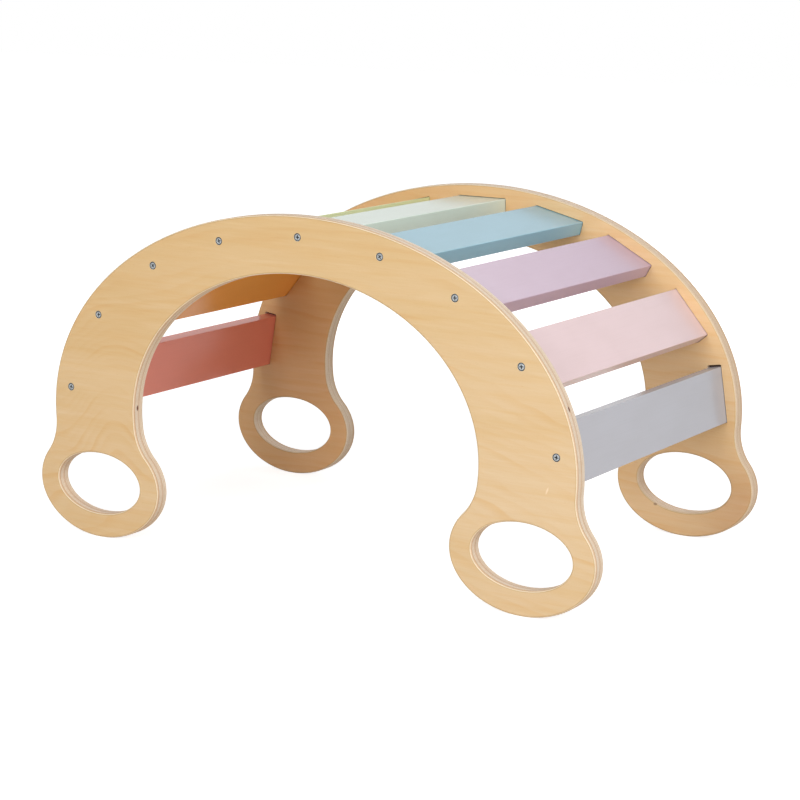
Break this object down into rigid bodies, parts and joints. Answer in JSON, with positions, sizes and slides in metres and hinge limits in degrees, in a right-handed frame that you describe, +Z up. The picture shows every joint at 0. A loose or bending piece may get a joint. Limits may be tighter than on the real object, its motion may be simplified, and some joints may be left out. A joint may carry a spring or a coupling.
{
  "type": "wooden rocker arch",
  "caption": "Arched climber that rocks when turned over: two plywood side panels on oval ring feet, joined by painted slats that sit in pockets and are held by countersunk screws.",
  "frame": {"origin": "on the floor, below the middle of the arch: the centre of the bounding box's bottom", "axes": "+X along the arch's length to the right seen from the front, +Y from the front panel to the rear one, +Z up"},
  "size_m": [0.823, 0.457, 0.443],
  "materials": {
    "birch_plywood": "birch plywood, clear satin lacquer, sanded edges",
    "paint_terracotta_red": "solid board painted with satin terracotta red water-based paint",
    "paint_orange": "solid board painted with satin orange water-based paint",
    "paint_yellow": "solid board painted with satin yellow water-based paint",
    "paint_lime": "solid board painted with satin lime water-based paint",
    "paint_mint": "solid board painted with satin mint water-based paint",
    "paint_blue": "solid board painted with satin blue water-based paint",
    "paint_lilac": "solid board painted with satin lilac water-based paint",
    "paint_pink": "solid board painted with satin pink water-based paint",
    "paint_grey": "solid board painted with satin grey water-based paint",
    "zinc_screw": "zinc-plated steel"
  },
  "bodies": {
    "root": {"side_panel_front": "birch_plywood", "side_panel_rear": "birch_plywood", "slat_1_red": "paint_terracotta_red", "slat_2_orange": "paint_orange", "slat_3_yellow": "paint_yellow", "slat_4_lime": "paint_lime", "slat_5_mint": "paint_mint", "slat_6_blue": "paint_blue", "slat_7_lilac": "paint_lilac", "slat_8_pink": "paint_pink", "slat_9_grey": "paint_grey", "screws_1": "zinc_screw", "screws_2": "zinc_screw", "screws_3": "zinc_screw", "screws_4": "zinc_screw", "screws_5": "zinc_screw", "screws_6": "zinc_screw", "screws_7": "zinc_screw", "screws_8": "zinc_screw", "screws_9": "zinc_screw"}
  },
  "joints": []
}
